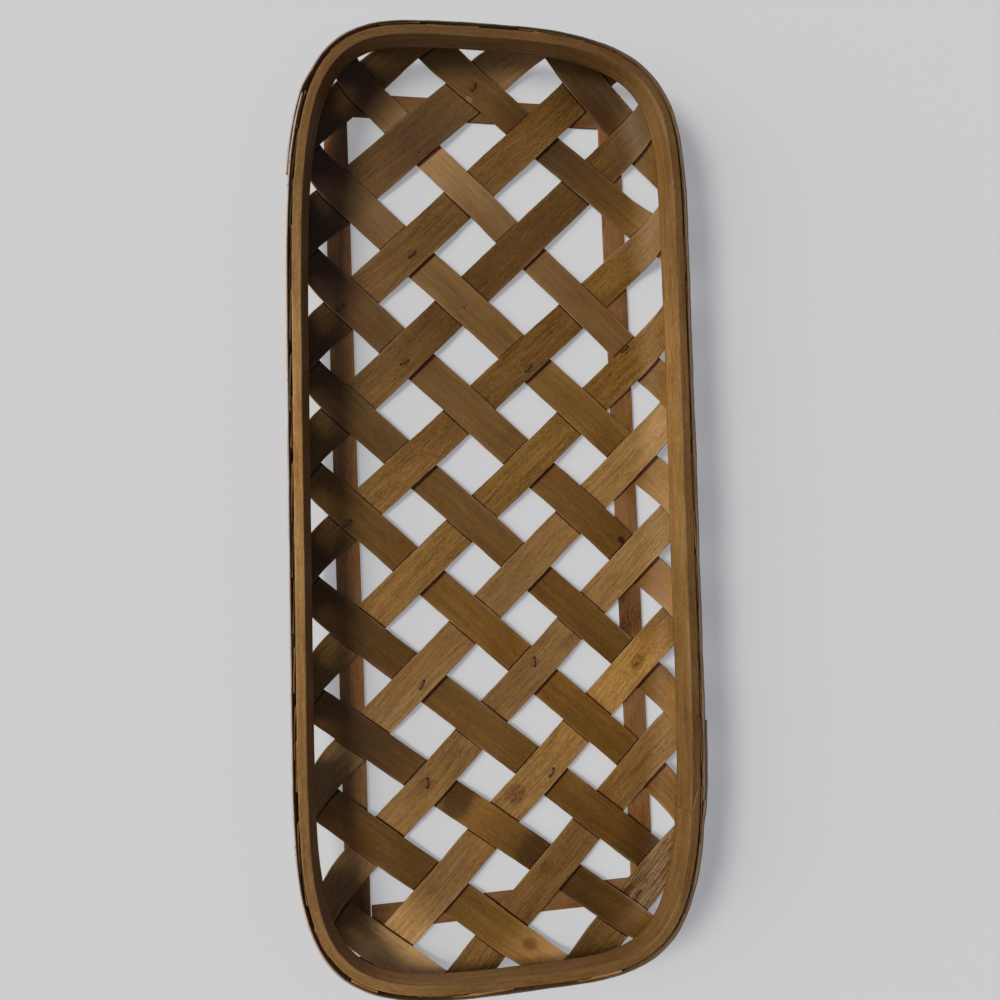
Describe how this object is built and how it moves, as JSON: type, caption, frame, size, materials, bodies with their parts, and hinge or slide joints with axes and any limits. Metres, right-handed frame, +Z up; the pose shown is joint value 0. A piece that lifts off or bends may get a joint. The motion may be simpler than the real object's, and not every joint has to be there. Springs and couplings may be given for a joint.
{
  "type": "tobacco basket",
  "caption": "Long shallow tray of flat wooden splints woven on the diagonal with open diamond gaps, turned up into a bent wooden rim and lying on a frame of slats.",
  "frame": {"origin": "middle of the footprint, on the flat undersides of the four slats that the basket lies on", "axes": "+Z up through the mouth of the tray, +Y along its length, +X across its width"},
  "size_m": [0.3996, 0.9104, 0.06],
  "materials": {
    "rising_splint_wood": "satin stain",
    "falling_splint_wood": "satin stain",
    "slat_wood": "satin stain",
    "hoop_wood": "satin stain",
    "band_wood": "satin stain",
    "staple_iron": "rusted"
  },
  "bodies": {
    "root": {"rising_splint_01": "rising_splint_wood", "rising_splint_02": "rising_splint_wood", "rising_splint_03": "rising_splint_wood", "rising_splint_04": "rising_splint_wood", "rising_splint_05": "rising_splint_wood", "rising_splint_06": "rising_splint_wood", "rising_splint_07": "rising_splint_wood", "rising_splint_08": "rising_splint_wood", "rising_splint_09": "rising_splint_wood", "rising_splint_10": "rising_splint_wood", "rising_splint_11": "rising_splint_wood", "falling_splint_01": "falling_splint_wood", "falling_splint_02": "falling_splint_wood", "falling_splint_03": "falling_splint_wood", "falling_splint_04": "falling_splint_wood", "falling_splint_05": "falling_splint_wood", "falling_splint_06": "falling_splint_wood", "falling_splint_07": "falling_splint_wood", "falling_splint_08": "falling_splint_wood", "falling_splint_09": "falling_splint_wood", "falling_splint_10": "falling_splint_wood", "falling_splint_11": "falling_splint_wood", "left_slat": "slat_wood", "right_slat": "slat_wood", "far_slat": "slat_wood", "near_slat": "slat_wood", "inner_hoop": "hoop_wood", "far_band": "band_wood", "near_band": "band_wood", "weave_staple_01": "staple_iron", "weave_staple_02": "staple_iron", "weave_staple_03": "staple_iron", "weave_staple_04": "staple_iron", "weave_staple_05": "staple_iron", "weave_staple_06": "staple_iron", "weave_staple_07": "staple_iron", "weave_staple_08": "staple_iron", "weave_staple_09": "staple_iron", "weave_staple_10": "staple_iron", "weave_staple_11": "staple_iron", "left_rim_staple_01": "staple_iron", "left_rim_staple_02": "staple_iron", "left_rim_staple_03": "staple_iron", "left_rim_staple_04": "staple_iron", "left_rim_staple_05": "staple_iron", "right_rim_staple_01": "staple_iron", "right_rim_staple_02": "staple_iron", "right_rim_staple_03": "staple_iron", "right_rim_staple_04": "staple_iron", "far_rim_staple_01": "staple_iron", "far_rim_staple_02": "staple_iron", "near_rim_staple_01": "staple_iron", "near_rim_staple_02": "staple_iron"}
  },
  "joints": []
}
